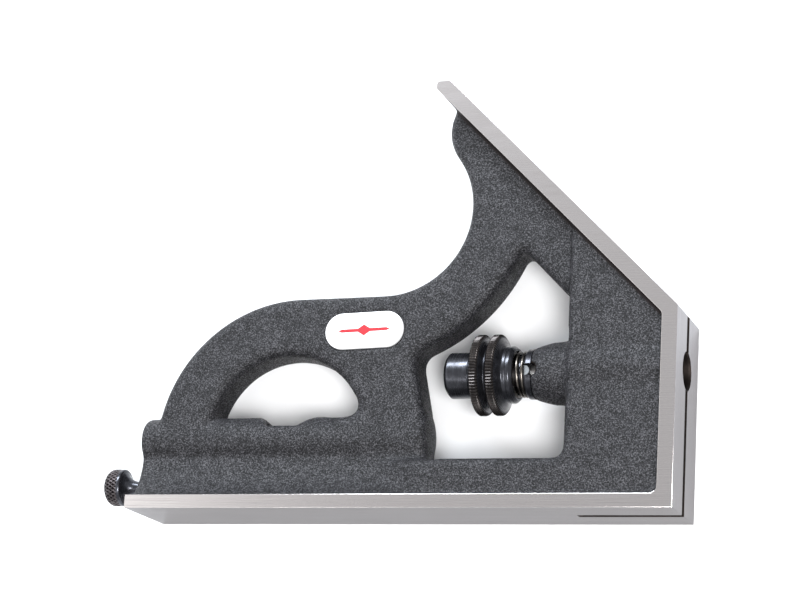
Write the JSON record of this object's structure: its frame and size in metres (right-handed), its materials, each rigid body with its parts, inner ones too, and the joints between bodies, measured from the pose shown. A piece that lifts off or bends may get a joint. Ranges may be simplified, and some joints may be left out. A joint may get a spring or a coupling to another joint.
{
  "type": "combination square head",
  "caption": "Square head of a combination square: base and 45 degree faces, blade slot, spring-loaded lock bolt, level vial and scriber.",
  "frame": {"origin": "inner corner of the blade slot: its seat, the base face and the middle of the slot meet there", "axes": "+X along the base face towards the blade end, +Y up along the blade, +Z out of the front side; the head lies on its back side"},
  "size_m": [0.1508, 0.1083, 0.0238],
  "materials": {
    "cast_head": "black crackle paint on cast iron, with bare ground rails",
    "nameplate_enamel": "white enamel on thin sheet with a red line",
    "adhesive": "thin transfer adhesive",
    "holder_brass": "drawn brass tube",
    "clear_glass": "clear glass tube",
    "spirit": "tinted spirit",
    "bubble": "air bubble",
    "end_seal": "white cement",
    "bore_plug": "black painted plug",
    "bushing_steel": "turned steel",
    "needle_steel": "polished hardened steel",
    "black_oxide_knob": "glossy black oxide with diamond knurl",
    "bolt_steel": "black oxide steel",
    "pin_steel": "bright steel",
    "black_oxide_collar": "smooth black oxide",
    "spring_steel": "bright spring wire",
    "black_oxide_nut": "glossy black oxide with straight knurls"
  },
  "bodies": {
    "head": {"head_casting": "cast_head", "nameplate": "nameplate_enamel", "nameplate_adhesive": "adhesive", "vial_holder": "holder_brass", "vial_glass": "clear_glass", "vial_liquid": "spirit", "vial_bubble": "bubble", "vial_end_seals": "end_seal", "vial_bore_plug": "bore_plug", "scriber_bushing": "bushing_steel"},
    "collar": {"lock_collar": "black_oxide_collar"},
    "bolt": {"lock_bolt": "bolt_steel", "bolt_pin": "pin_steel"},
    "spring": {"lock_spring": "spring_steel"},
    "nut": {"lock_nut": "black_oxide_nut"},
    "scriber": {"scriber_needle": "needle_steel", "scriber_knob": "black_oxide_knob"}
  },
  "joints": [
    {"name": "bolt_reverse", "type": "hinge", "parent": "head", "child": "collar", "pos_m": [-0.013, 0.035, 0], "axis": [1, 0, 0], "range_deg": [0, 180]},
    {"name": "bolt_push", "type": "slide", "parent": "collar", "child": "bolt", "axis": [1, 0, 0], "range_m": [0, 0.001], "stiffness_N_per_m": 1200, "springref_m": -0.002},
    {"name": "nut_travel", "type": "slide", "parent": "bolt", "child": "spring", "axis": [1, 0, 0], "range_m": [-0.0009, 0.00158], "deforming": ["lock_spring"]},
    {"name": "nut_turn", "type": "hinge", "parent": "spring", "child": "nut", "pos_m": [-0.026, 0.035, 0], "axis": [1, 0, 0], "range_deg": [-360, 630]},
    {"name": "scriber_pull", "type": "slide", "parent": "head", "child": "scriber", "axis": [-1, 0, 0], "range_m": [0, 0.048]}
  ],
  "couplings": [
    {"joint": "nut_turn", "follows": "nut_travel", "rad_per_m": 6927.4}
  ]
}
